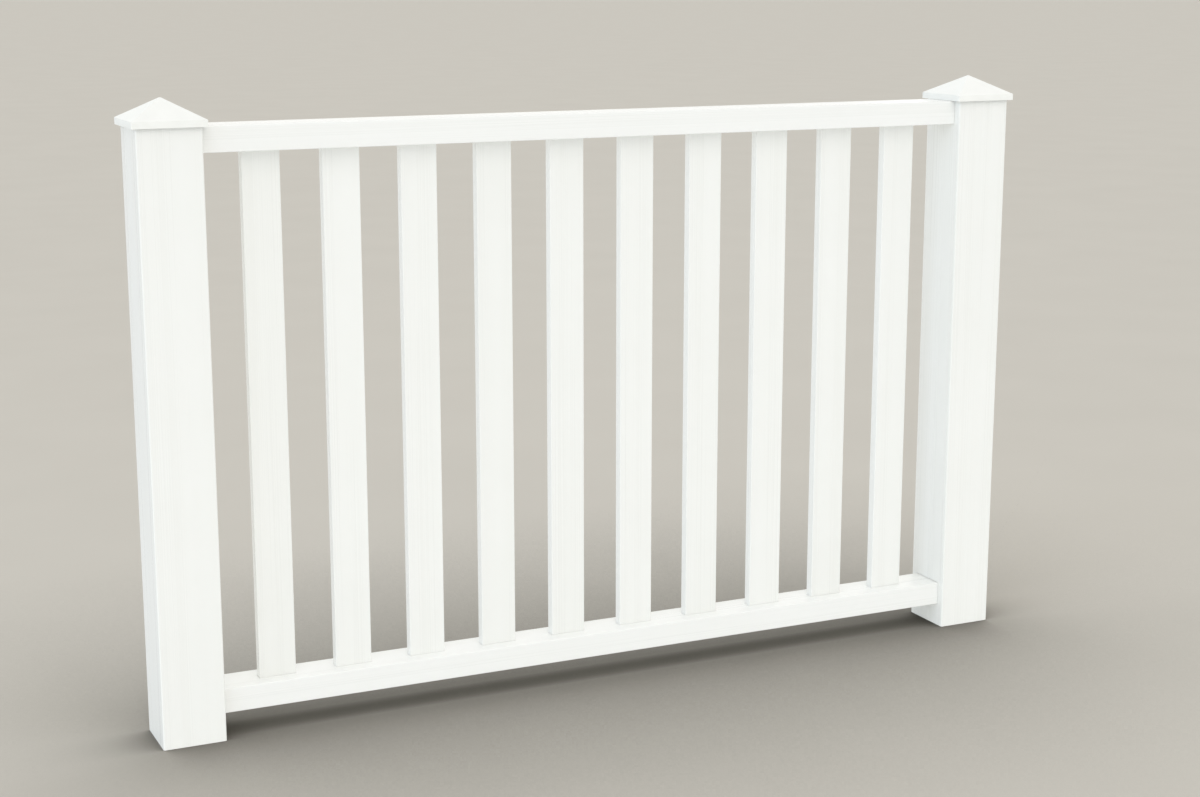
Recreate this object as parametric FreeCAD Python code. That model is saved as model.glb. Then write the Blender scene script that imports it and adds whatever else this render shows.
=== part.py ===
"""Vinyl picket fence panel: two capped posts, a top and a bottom rail, and a row of flat pickets.

Every piece is a hollow section, joined as the real ones are: the rails pass through routed holes in
the posts and lock behind the post walls, the pickets stand in slots in the rails, and a moulded cap
closes the top of each post.

Sizes are in millimetres. The origin is the centre of the left post's foot at ground level. +X runs
along the fence to the right post, the front faces -Y, and +Z is up.
"""
import FreeCAD
import Part
import math
import os

# Posts: square extruded tubes with open ends
post_width = 127.0
post_wall = 3.8
post_corner_radius = 3.2
post_spacing = 1828.8  # between the post centres
post_exposed_height = 1219.2  # from the ground to the lower edge of the cap

# Rails: extruded tubes, laid flat
rail_depth = 88.9
rail_height = 50.8
rail_wall = 2.3
rail_corner_radius = 2.0
rail_reach = 50.8  # length of rail past the post's face
rail_side_clearance = 0.5  # from the rail to the front and back of its hole in the post
rail_top_clearance = 0.8  # from the rail to the upper edge of its hole
bottom_rail_level = 50.8  # from the ground to the underside of the bottom rail
cap_clearance = 0.4  # from the top rail to the cap above its ends

# Lock tabs: strips of the rail's front and back walls, cut free at one end and pressed outwards
tab_length = 20.0
tab_width = 18.0
tab_rise = 4.0
tab_clearance = 1.0  # from the tab's free end to the inside of the post wall

# Pickets: flat extruded tubes at equal gaps
picket_count = 10
picket_width = 76.2
picket_thickness = 22.2
picket_wall = 1.5
picket_corner_radius = 1.6
picket_clearance = 0.4  # round the picket in its slots
picket_head_clearance = 3.0  # from the picket's head to the top rail's upper wall

# Drain holes in the floor of the bottom rail
drain_diameter = 6.4
drain_gap = 3  # counted from each post, the gap between pickets that the hole lies in

# Caps: moulded shells, held square on the post by ribs
cap_overhang = 9.2
cap_skirt_height = 13.0
cap_rise = 39.7
cap_apex_width = 3.0
cap_wall = 2.5
cap_corner_radius = 2.2
cap_hip_radius = 1.0
cap_eave_radius = 0.8
cap_engagement = 10.0  # length of post inside the skirt
cap_fit = 0.3  # from the ribs to the post
rib_count = 3  # on each side of the cap
rib_thickness = 2.0
rib_reach = 2.0  # length of rib past the inside of the post wall
rib_lead = 2.0  # from the skirt's lower edge to the ribs

inner_corner_radius = 1.0  # inside the tubes and the caps
cut_margin = 1.0  # how far a cutting shape runs past the wall it cuts

left_face = post_width / 2
right_face = post_spacing - post_width / 2
panel_middle = post_spacing / 2
post_top = post_exposed_height + cap_engagement
top_rail_level = post_exposed_height - cap_clearance - rail_height
picket_gap = (right_face - left_face - picket_count * picket_width) / (picket_count + 1)
picket_pitch = picket_gap + picket_width
first_picket = left_face + picket_gap + picket_width / 2
picket_foot = bottom_rail_level + rail_wall
picket_head = top_rail_level + rail_height - rail_wall - picket_head_clearance

X_AXIS = FreeCAD.Vector(1, 0, 0)
Y_AXIS = FreeCAD.Vector(0, 1, 0)
Z_AXIS = FreeCAD.Vector(0, 0, 1)
ORIGIN = FreeCAD.Vector(0, 0, 0)
QUARTER_TURN = 90.0
CAP_SIDES = 4
LEVEL_TOLERANCE = 1e-4


def outline(width, depth, radius, level=0.0):
    """Rounded rectangle about the Z axis, as a closed wire at the given level."""
    x = width / 2
    y = depth / 2
    corners = [(x, y, 0), (-x, y, 1), (-x, -y, 2), (x, -y, 3)]
    arcs = []
    for corner_x, corner_y, turn in corners:
        centre = FreeCAD.Vector(
            math.copysign(x - radius, corner_x), math.copysign(y - radius, corner_y), level
        )
        start = turn * QUARTER_TURN
        arcs.append(Part.makeCircle(radius, centre, Z_AXIS, start, start + QUARTER_TURN))
    edges = []
    for arc, next_arc in zip(arcs, arcs[1:] + arcs[:1]):
        edges.append(arc)
        edges.append(Part.makeLine(arc.lastVertex().Point, next_arc.firstVertex().Point))
    return Part.Wire(edges)


def bar(width, depth, radius, bottom, top):
    """Upright bar of rounded rectangular section about the Z axis."""
    return Part.Face(outline(width, depth, radius, bottom)).extrude(Z_AXIS * (top - bottom))


def tube(width, depth, radius, wall, bottom, top):
    """Upright extruded tube with open ends."""
    hollow = bar(width - 2 * wall, depth - 2 * wall, inner_corner_radius, bottom, top)
    return bar(width, depth, radius, bottom, top).cut(hollow)


def laid_along_x(shape, level):
    """An upright shape turned to run along +X, with its middle at the given level."""
    turned = shape.copy()
    turned.rotate(ORIGIN, Y_AXIS, QUARTER_TURN)
    return turned.translated(Z_AXIS * level)


def hipped_block(width, radius, bottom, eave, apex):
    """Square block with rounded upright corners, and a top sloping from the eave to a small flat."""
    half = width / 2
    flat = cap_apex_width / 2
    roof = Part.makeWedge(-half, eave, -half, -flat, -flat, half, apex, half, flat, flat)
    roof.rotate(ORIGIN, X_AXIS, QUARTER_TURN)
    roof = roof.common(bar(width, width, radius, eave, apex))
    return bar(width, width, radius, bottom, eave).fuse(roof)


def ends_in_height(edge):
    """Levels of an edge's lower and upper ends."""
    levels = [vertex.Z for vertex in edge.Vertexes]
    return min(levels), max(levels)


def one_solid(shape):
    """The single solid a piece is made of, with its split faces joined."""
    solids = shape.removeSplitter().Solids
    if len(solids) != 1:
        raise ValueError(f"a piece has {len(solids)} solids")
    return solids[0]


def left_post():
    """Post tube with a routed hole for each rail in the wall that faces the panel."""
    post = tube(post_width, post_width, post_corner_radius, post_wall, 0.0, post_top)
    hole_height = rail_height + rail_top_clearance
    hole = bar(
        hole_height,
        rail_depth + 2 * rail_side_clearance,
        rail_corner_radius,
        left_face - post_wall - cut_margin,
        left_face + cut_margin,
    )
    for level in (bottom_rail_level, top_rail_level):
        post = post.cut(laid_along_x(hole, level + hole_height / 2))
    return one_solid(post)


def cap():
    """Pyramid shell with a skirt, and ribs inside that grip the post and stand on its end."""
    size = post_width + 2 * cap_overhang
    eave = post_exposed_height + cap_skirt_height
    apex = eave + cap_rise
    slope = math.atan2(cap_rise, (size - cap_apex_width) / 2)

    form = one_solid(hipped_block(size, cap_corner_radius, post_exposed_height, eave, apex))
    hips = []
    for edge in form.Edges:
        low, high = ends_in_height(edge)
        if low < apex - LEVEL_TOLERANCE < high:
            hips.append(edge)
    form = form.makeFillet(cap_hip_radius, hips)
    eaves = []
    for edge in form.Edges:
        low, high = ends_in_height(edge)
        if low > eave - LEVEL_TOLERANCE and high < eave + cap_corner_radius:
            eaves.append(edge)
    form = form.makeFillet(cap_eave_radius, eaves)

    hollow_size = size - 2 * cap_wall
    hollow_apex = apex - cap_wall / math.cos(slope)
    hollow_eave = hollow_apex - (hollow_size - cap_apex_width) / 2 * math.tan(slope)
    hollow = hipped_block(
        hollow_size, inner_corner_radius, post_exposed_height, hollow_eave, hollow_apex
    )

    rib_inner = post_width / 2 - post_wall - rib_reach
    rib = Part.makeBox(
        size / 2 - rib_inner,
        rib_thickness,
        apex - post_exposed_height,
        FreeCAD.Vector(rib_inner, -rib_thickness / 2, post_exposed_height + rib_lead),
    )
    rib_pitch = post_width / (rib_count + 1)
    ribs = []
    for side in range(CAP_SIDES):
        for number in range(rib_count):
            offset = (number - (rib_count - 1) / 2) * rib_pitch
            placed = rib.translated(Y_AXIS * offset)
            placed.rotate(ORIGIN, Z_AXIS, side * QUARTER_TURN)
            ribs.append(placed)
    pocket_size = post_width + 2 * cap_fit
    pocket = bar(pocket_size, pocket_size, post_corner_radius, post_exposed_height, post_top)
    ribs = hollow.common(Part.makeCompound(ribs)).cut(pocket)
    return one_solid(form.cut(hollow).fuse(ribs.Solids))


def picket_x(number):
    """Middle of a picket, counted from zero at the left post."""
    return first_picket + number * picket_pitch


def lock_tab():
    """Window cut in the rail's wall, and the strip pressed out of it, inside the right post."""
    free_end = right_face + post_wall + tab_clearance
    root = free_end + tab_length
    face = rail_depth / 2
    window = Part.makeBox(
        tab_length,
        rail_wall + 2 * cut_margin,
        tab_width,
        FreeCAD.Vector(free_end, face - rail_wall - cut_margin, -tab_width / 2),
    )
    corners = [
        (root, face - rail_wall),
        (root, face),
        (free_end, face + tab_rise),
        (free_end, face + tab_rise - rail_wall),
    ]
    points = [FreeCAD.Vector(x, y, -tab_width / 2) for x, y in corners]
    strip = Part.Face(Part.makePolygon(points + points[:1])).extrude(Z_AXIS * tab_width)
    return window, strip


def four_ways(shape):
    """The shape and its mirror images at the other end and on the other side of the panel."""
    front_and_back = [shape, shape.mirror(ORIGIN, Y_AXIS)]
    return front_and_back + [one.mirror(X_AXIS * panel_middle, X_AXIS) for one in front_and_back]


def rail(level, slotted_wall):
    """Rail tube with its lock tabs, and a slot for each picket in the wall at the given level."""
    rail_tube = tube(
        rail_height,
        rail_depth,
        rail_corner_radius,
        rail_wall,
        left_face - rail_reach,
        right_face + rail_reach,
    )
    middle = level + rail_height / 2
    window, strip = lock_tab()
    solid = laid_along_x(rail_tube, middle)
    solid = solid.cut([one.translated(Z_AXIS * middle) for one in four_ways(window)])
    solid = solid.fuse([one.translated(Z_AXIS * middle) for one in four_ways(strip)])
    slot = bar(
        picket_width + 2 * picket_clearance,
        picket_thickness + 2 * picket_clearance,
        picket_corner_radius,
        slotted_wall - cut_margin,
        slotted_wall + rail_wall + cut_margin,
    )
    slots = [slot.translated(X_AXIS * picket_x(number)) for number in range(picket_count)]
    return one_solid(solid.cut(slots))


def bottom_rail():
    """Rail with slots in its upper wall and a drain hole near each end of its floor."""
    solid = rail(bottom_rail_level, bottom_rail_level + rail_height - rail_wall)
    from_post = (drain_gap - 1) * picket_pitch + picket_gap / 2
    for x in (left_face + from_post, right_face - from_post):
        start = FreeCAD.Vector(x, 0, bottom_rail_level - cut_margin)
        solid = solid.cut(Part.makeCylinder(drain_diameter / 2, rail_wall + 2 * cut_margin, start))
    return one_solid(solid)


picket = one_solid(
    tube(
        picket_width,
        picket_thickness,
        picket_corner_radius,
        picket_wall,
        picket_foot,
        picket_head,
    )
)
post = left_post()
post_cap = cap()
pieces = {
    "left_post": post,
    "right_post": post.mirror(X_AXIS * panel_middle, X_AXIS),
    "left_post_cap": post_cap,
    "right_post_cap": post_cap.translated(X_AXIS * post_spacing),
    "bottom_rail": bottom_rail(),
    "top_rail": rail(top_rail_level, top_rail_level),
}
for number in range(picket_count):
    pieces[f"picket_{number + 1:02d}"] = picket.translated(X_AXIS * picket_x(number))

os.makedirs("parts", exist_ok=True)
for name, piece in pieces.items():
    piece.exportStep(os.path.join("parts", name + ".step"))
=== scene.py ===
import math

import bpy
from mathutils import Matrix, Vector


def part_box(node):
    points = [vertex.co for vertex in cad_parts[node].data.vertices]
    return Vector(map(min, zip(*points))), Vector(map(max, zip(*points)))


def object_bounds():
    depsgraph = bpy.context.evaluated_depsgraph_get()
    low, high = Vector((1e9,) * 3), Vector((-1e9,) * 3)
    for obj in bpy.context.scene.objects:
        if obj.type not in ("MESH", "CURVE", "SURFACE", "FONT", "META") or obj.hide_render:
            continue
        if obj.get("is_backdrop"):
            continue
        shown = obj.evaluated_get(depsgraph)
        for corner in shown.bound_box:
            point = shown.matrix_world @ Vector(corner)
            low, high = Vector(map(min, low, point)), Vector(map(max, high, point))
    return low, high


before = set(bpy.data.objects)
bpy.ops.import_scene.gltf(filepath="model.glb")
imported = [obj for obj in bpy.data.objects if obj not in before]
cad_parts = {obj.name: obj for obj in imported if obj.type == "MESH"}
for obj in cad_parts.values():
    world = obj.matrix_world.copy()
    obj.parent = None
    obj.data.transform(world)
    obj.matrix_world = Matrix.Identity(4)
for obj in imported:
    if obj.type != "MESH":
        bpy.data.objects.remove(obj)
cad_box = [list(corner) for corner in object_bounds()]

# Posts: square tubes of white vinyl, drawn through a die and cut to length with a saw.
# The wall that faces the panel is routed for the two rails, and the foot is left open.
# The die leaves fine lines and faint bands along them, and the saw leaves its marks on the ends.
AXES = "XYZ"


def display(red, green, blue):
    """A colour as a screen shows it, from 0 to 255, in the linear values that a shader takes."""
    linear = []
    for level in (red, green, blue):
        share = level / 255
        linear.append(share / 12.92 if share <= 0.04045 else ((share + 0.055) / 1.055) ** 2.4)
    return (*linear, 1.0)


class Socket:
    """An output in a node tree. Arithmetic on it adds Math nodes."""

    def __init__(self, tree, output=None):
        self.tree = tree
        self.output = output

    def node(self, kind, settings=None, inputs=None, output=0):
        """Adds a node: its settings first, then the values or links of its inputs."""
        made = self.tree.nodes.new(kind)
        for name, setting in (settings or {}).items():
            setattr(made, name, setting)
        for name, value in (inputs or {}).items():
            if isinstance(value, Socket):
                self.tree.links.new(value.output, made.inputs[name])
            else:
                made.inputs[name].default_value = value
        return Socket(self.tree, made.outputs[output])

    def feed(self, shader, name):
        """Links this output to an input of a shader."""
        self.tree.links.new(self.output, shader.inputs[name])

    def math(self, operation, *values):
        """Adds a Math node."""
        return self.node("ShaderNodeMath", {"operation": operation}, dict(enumerate(values)))

    def __add__(self, other):
        return self.math("ADD", self, other)

    def __radd__(self, other):
        return self.math("ADD", other, self)

    def __sub__(self, other):
        return self.math("SUBTRACT", self, other)

    def __rsub__(self, other):
        return self.math("SUBTRACT", other, self)

    def __mul__(self, other):
        return self.math("MULTIPLY", self, other)

    def __rmul__(self, other):
        return self.math("MULTIPLY", other, self)

    def __abs__(self):
        return self.math("ABSOLUTE", self)

    def __round__(self):
        return self.math("ROUND", self)

    def at_least(self, other):
        """The larger of this value and another."""
        return self.math("MAXIMUM", self, other)

    def along(self, axis):
        """One part of a vector."""
        return self.node("ShaderNodeSeparateXYZ", inputs={"Vector": self}, output=axis)

    def between(self, low, high):
        """The colour that this share, from 0 to 1, picks between two others."""
        share_input = 0
        low_input = 6
        high_input = 7
        colour_output = 2
        inputs = {share_input: self, low_input: low, high_input: high}
        return self.node("ShaderNodeMix", {"data_type": "RGBA"}, inputs, colour_output)

    def grain(self, size, detail=2.0):
        """Noise over this place, with grains of the given size along X, Y and Z.

        Most of the noise lies between the lowest and the highest level here, which become 0 and 1.
        """
        lowest = 0.3
        highest = 0.7
        scaled = self.node("ShaderNodeVectorMath", {"operation": "DIVIDE"}, {0: self, 1: size})
        noise = self.node("ShaderNodeTexNoise", inputs={"Vector": scaled, "Scale": 1.0, "Detail": detail})
        return (noise - lowest) * (1 / (highest - lowest))

    def relief(self):
        """The shading normal of a surface with this height, in metres."""
        return self.node("ShaderNodeBump", inputs={"Height": self, "Distance": 1.0}, output="Normal")


def drawn(across, length, run):
    """Grain sizes along X, Y and Z for marks that are drawn out along one of them."""
    return [length if axis == run else across for axis in AXES]


def extruded_vinyl(name, dull_white, fresh_white, run, row, spacing):
    """White vinyl drawn along one axis, with a tone of its own for each piece set along a row."""
    die_line_size = drawn(0.0011, 0.8, run)
    die_line_depth = 5.0e-6
    die_line_tone = 0.1
    band_size = drawn(0.030, 1.8, run)
    swell_size = drawn(0.05, 0.30, run)
    swell_depth = 9.0e-5
    cloud_size = (0.16, 0.16, 0.16)
    saw_mark_size = drawn(0.03, 0.0008, row)
    saw_mark_depth = 2.4e-5
    glossiest = 0.22
    dullest = 0.38
    cut_dullness = 0.25

    finish = bpy.data.materials.new(name)
    finish.use_nodes = True
    surface = finish.node_tree.nodes["Principled BSDF"]
    tree = Socket(finish.node_tree)
    place = tree.node("ShaderNodeTexCoord", output="Object")
    facing = tree.node("ShaderNodeTexCoord", output="Normal")

    die_lines = place.grain(die_line_size)
    bands = place.grain(band_size, detail=0.0)
    swell = place.grain(swell_size, detail=1.0)
    clouds = place.grain(cloud_size)
    saw_marks = place.grain(saw_mark_size)
    cut_end = abs(facing.along(run))
    number = round(place.along(row) * (1 / spacing))
    batch = tree.node("ShaderNodeTexWhiteNoise", {"noise_dimensions": "1D"}, {"W": number})

    tone = die_line_tone * die_lines + (1 - die_line_tone) / 3 * (clouds + bands + batch)
    tone.between(dull_white, fresh_white).feed(surface, "Base Color")
    wear = (die_lines + bands) * 0.5
    roughness = glossiest + (dullest - glossiest) * wear + cut_dullness * cut_end
    roughness.feed(surface, "Roughness")
    drawn_height = swell_depth * swell + die_line_depth * die_lines
    height = (1 - cut_end) * drawn_height + cut_end * (saw_mark_depth * saw_marks)
    height.relief().feed(surface, "Normal")
    return finish


def give_finish(node_names, finish):
    """Puts a finish on CAD nodes."""
    for node_name in node_names:
        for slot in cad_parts[node_name].material_slots:
            slot.material = finish


def middle(node_name):
    """Middle of a CAD node's box."""
    low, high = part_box(node_name)
    return (low + high) / 2


post_names = ["left_post", "right_post"]
post_dull_white = display(242, 243, 239)
post_fresh_white = display(247, 248, 245)
post_spacing = middle("right_post").x - middle("left_post").x
post_vinyl = extruded_vinyl("post_vinyl", post_dull_white, post_fresh_white, "Z", "X", post_spacing)
give_finish(post_names, post_vinyl)

# Rails: flat-laid vinyl tubes of a slightly fresher white, drawn through a die of their own.
# They pass through the routed holes of the posts and lock behind the walls with pressed tabs.
rail_names = ["bottom_rail", "top_rail"]
rail_dull_white = display(244, 245, 242)
rail_fresh_white = display(248, 249, 247)
rail_spacing = middle("top_rail").z - middle("bottom_rail").z
rail_vinyl = extruded_vinyl("rail_vinyl", rail_dull_white, rail_fresh_white, "X", "Z", rail_spacing)
give_finish(rail_names, rail_vinyl)

# Pickets: thin flat vinyl tubes, drawn and cut in quantity, so that each differs a little in tone.
# Each stands in a slot of the bottom rail and reaches into one of the top rail.
picket_names = sorted(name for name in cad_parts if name.startswith("picket_"))
picket_dull_white = display(242, 243, 239)
picket_fresh_white = display(247, 248, 245)
picket_spacing = middle(picket_names[1]).x - middle(picket_names[0]).x
picket_vinyl = extruded_vinyl(
    "picket_vinyl", picket_dull_white, picket_fresh_white, "Z", "X", picket_spacing
)
give_finish(picket_names, picket_vinyl)


# Caps: pyramid shells of white vinyl, injection moulded, pressed down over the ends of the posts.
# The mould leaves a fine even grain, a slow ripple where the vinyl flowed, and a softer gloss.
def moulded_vinyl(name):
    """White vinyl moulded in one shot, with the grain of the mould's steel."""
    fresh_white = display(247, 248, 244)
    dull_white = display(244, 245, 241)
    pit_size = (0.0007, 0.0007, 0.0007)
    pit_depth = 3e-6
    ripple_size = (0.014, 0.014, 0.014)
    ripple_depth = 1.6e-5
    cloud_size = (0.03, 0.03, 0.03)
    glossiest = 0.32
    dullest = 0.46

    finish = bpy.data.materials.new(name)
    finish.use_nodes = True
    surface = finish.node_tree.nodes["Principled BSDF"]
    place = Socket(finish.node_tree).node("ShaderNodeTexCoord", output="Object")

    pits = place.grain(pit_size, detail=1.0)
    ripple = place.grain(ripple_size)
    clouds = place.grain(cloud_size)

    clouds.between(dull_white, fresh_white).feed(surface, "Base Color")
    wear = (pits + clouds) * 0.5
    roughness = glossiest + (dullest - glossiest) * wear
    roughness.feed(surface, "Roughness")
    height = pit_depth * pits + ripple_depth * ripple
    height.relief().feed(surface, "Normal")
    return finish


cap_names = ["left_post_cap", "right_post_cap"]
cap_vinyl = moulded_vinyl("cap_vinyl")
give_finish(cap_names, cap_vinyl)

# Floor: a plain sheet of pale paper that the panel stands on, too wide for its edge to show.
# It throws back more light than it shows, and is clear from below, where it is cut out under the feet.
# Where the panel covers much of the sky above it, a soft painted shadow darkens the paper's colour as it
# is seen.
paper_dim = display(200, 196, 187)
paper_pale = display(202, 198, 189)
paper_glow = display(243, 243, 241)
painted_shadow_colour = display(70, 67, 62)
paper_patch = (0.5, 0.5, 0.5)
painted_shadow_reach = 1.3
painted_shadow_samples = 16
floor_reach = 200.0
floor_level = -0.0005
foot_edge = 0.003

left_low, left_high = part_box("left_post")
right_low, right_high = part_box("right_post")
floor_columns = [
    -floor_reach,
    left_low.x + foot_edge,
    left_high.x - foot_edge,
    right_low.x + foot_edge,
    right_high.x - foot_edge,
    floor_reach,
]
floor_rows = [-floor_reach, left_low.y + foot_edge, left_high.y - foot_edge, floor_reach]
foot_row = 1
foot_columns = (1, 3)
floor_corners = [(x, y, floor_level) for y in floor_rows for x in floor_columns]
floor_faces = []
for row in range(len(floor_rows) - 1):
    for column in range(len(floor_columns) - 1):
        if row == foot_row and column in foot_columns:
            continue
        near = row * len(floor_columns) + column
        far = near + len(floor_columns)
        floor_faces.append((near, near + 1, far + 1, far))
floor_mesh = bpy.data.meshes.new("floor")
floor_mesh.from_pydata(floor_corners, [], floor_faces)
floor = bpy.data.objects.new("floor", floor_mesh)
bpy.context.scene.collection.objects.link(floor)
floor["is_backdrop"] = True


def shown_directly(tree):
    """One for rays that show a surface to the eye, also in a reflection, and zero for rays of light."""
    shown = tree.node("ShaderNodeLightPath", output="Is Camera Ray")
    for ray in ("Is Glossy Ray", "Is Transmission Ray"):
        shown = shown.at_least(tree.node("ShaderNodeLightPath", output=ray))
    return shown


floor_finish = bpy.data.materials.new("floor_paper")
floor_finish.use_nodes = True
floor_mesh.materials.append(floor_finish)
floor_tree = Socket(floor_finish.node_tree)
floor_place = floor_tree.node("ShaderNodeTexCoord", output="Object")
# Painted shadow: ambient occlusion from the panel darkens the seen paper's colour towards a near-black
# shadow colour.
open_sky = floor_tree.node(
    "ShaderNodeAmbientOcclusion", {"samples": painted_shadow_samples}, {"Distance": painted_shadow_reach}, "AO"
)
bare_paper = floor_place.grain(paper_patch).between(paper_dim, paper_pale)
paper_with_painted_shadow = (open_sky * open_sky).between(painted_shadow_colour, bare_paper)
lighting_paper = floor_tree.node("ShaderNodeBsdfDiffuse", inputs={"Color": paper_glow})
seen_paper = floor_tree.node("ShaderNodeBsdfDiffuse", inputs={"Color": paper_with_painted_shadow})
paper = floor_tree.node(
    "ShaderNodeMixShader", inputs={0: shown_directly(floor_tree), 1: lighting_paper, 2: seen_paper}
)
clear = floor_tree.node("ShaderNodeBsdfTransparent")
from_below = floor_tree.node("ShaderNodeNewGeometry", output="Backfacing")
floor_shader = floor_tree.node("ShaderNodeMixShader", inputs={0: from_below, 1: paper, 2: clear})
floor_shader.feed(floor_finish.node_tree.nodes["Material Output"], "Surface")

# Studio light: a pale surround, a broad lamp above and one on each of the four sides.
# The front lamp is the warmest and the left one the coolest, which sets the faces apart.
# The level is plain, so that a finish shows at about the colour that it is written in.
surround_white = (1.0, 1.0, 1.0, 1.0)
surround_level = 0.655
backdrop = display(203, 199, 190)

surround = bpy.data.worlds.new("surround")
surround.use_nodes = True
bpy.context.scene.world = surround
surround_tree = Socket(surround.node_tree)
shine = surround_tree.node(
    "ShaderNodeBackground", inputs={"Color": surround_white, "Strength": surround_level}
)
show = surround_tree.node("ShaderNodeBackground", inputs={"Color": backdrop, "Strength": 1.0})
surround_shader = surround_tree.node(
    "ShaderNodeMixShader", inputs={0: shown_directly(surround_tree), 1: shine, 2: show}
)
surround_shader.feed(surround.node_tree.nodes["World Output"], "Surface")


def broad_lamp(name, towards, strength, spread, colour):
    """A far lamp that shines towards a direction and is as broad as an angle in degrees."""
    lamp = bpy.data.lights.new(name, "SUN")
    lamp.energy = strength
    lamp.angle = math.radians(spread)
    lamp.color = colour
    holder = bpy.data.objects.new(name, lamp)
    holder.rotation_euler = Vector(towards).to_track_quat("-Z", "Y").to_euler()
    bpy.context.scene.collection.objects.link(holder)


broad_lamp("top_lamp", towards=(0.0, 0.25, -1.0), strength=0.37, spread=60, colour=(0.98, 0.97, 1.0))
broad_lamp("front_lamp", towards=(0.10, 0.75, -0.62), strength=0.60, spread=50, colour=(1.0, 0.95, 0.84))
broad_lamp("left_lamp", towards=(0.95, 0.28, -0.03), strength=1.25, spread=70, colour=(0.65, 0.81, 1.0))
broad_lamp("back_lamp", towards=(-0.12, -0.93, -0.20), strength=0.51, spread=70, colour=(0.97, 1.0, 1.0))
broad_lamp("right_lamp", towards=(-0.93, -0.20, -0.05), strength=0.86, spread=90, colour=(1.0, 0.98, 1.0))

# Camera: at eye height, before the left post and turned towards the middle of the panel.
# Its place, turn and lens lay the edges of the panel where the photograph has them.
camera_place = (-0.89443, -3.88100, 1.51957)
camera_turn = 24.9891
camera_dip = 11.9915
picture_width = 1200
focal_length_in_pixels = 2051.39

camera_lens = bpy.data.cameras.new("camera")
camera_lens.lens = camera_lens.sensor_width * focal_length_in_pixels / picture_width
camera_lens.clip_end = 2 * floor_reach
camera = bpy.data.objects.new("camera", camera_lens)
camera.location = camera_place
camera.rotation_euler = (math.radians(90 - camera_dip), 0.0, math.radians(-camera_turn))
bpy.context.scene.collection.objects.link(camera)
bpy.context.scene.camera = camera
bpy.context.scene.view_settings.view_transform = "Standard"

seen_box = [list(corner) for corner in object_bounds()]
{"cad": cad_box, "visual": seen_box}
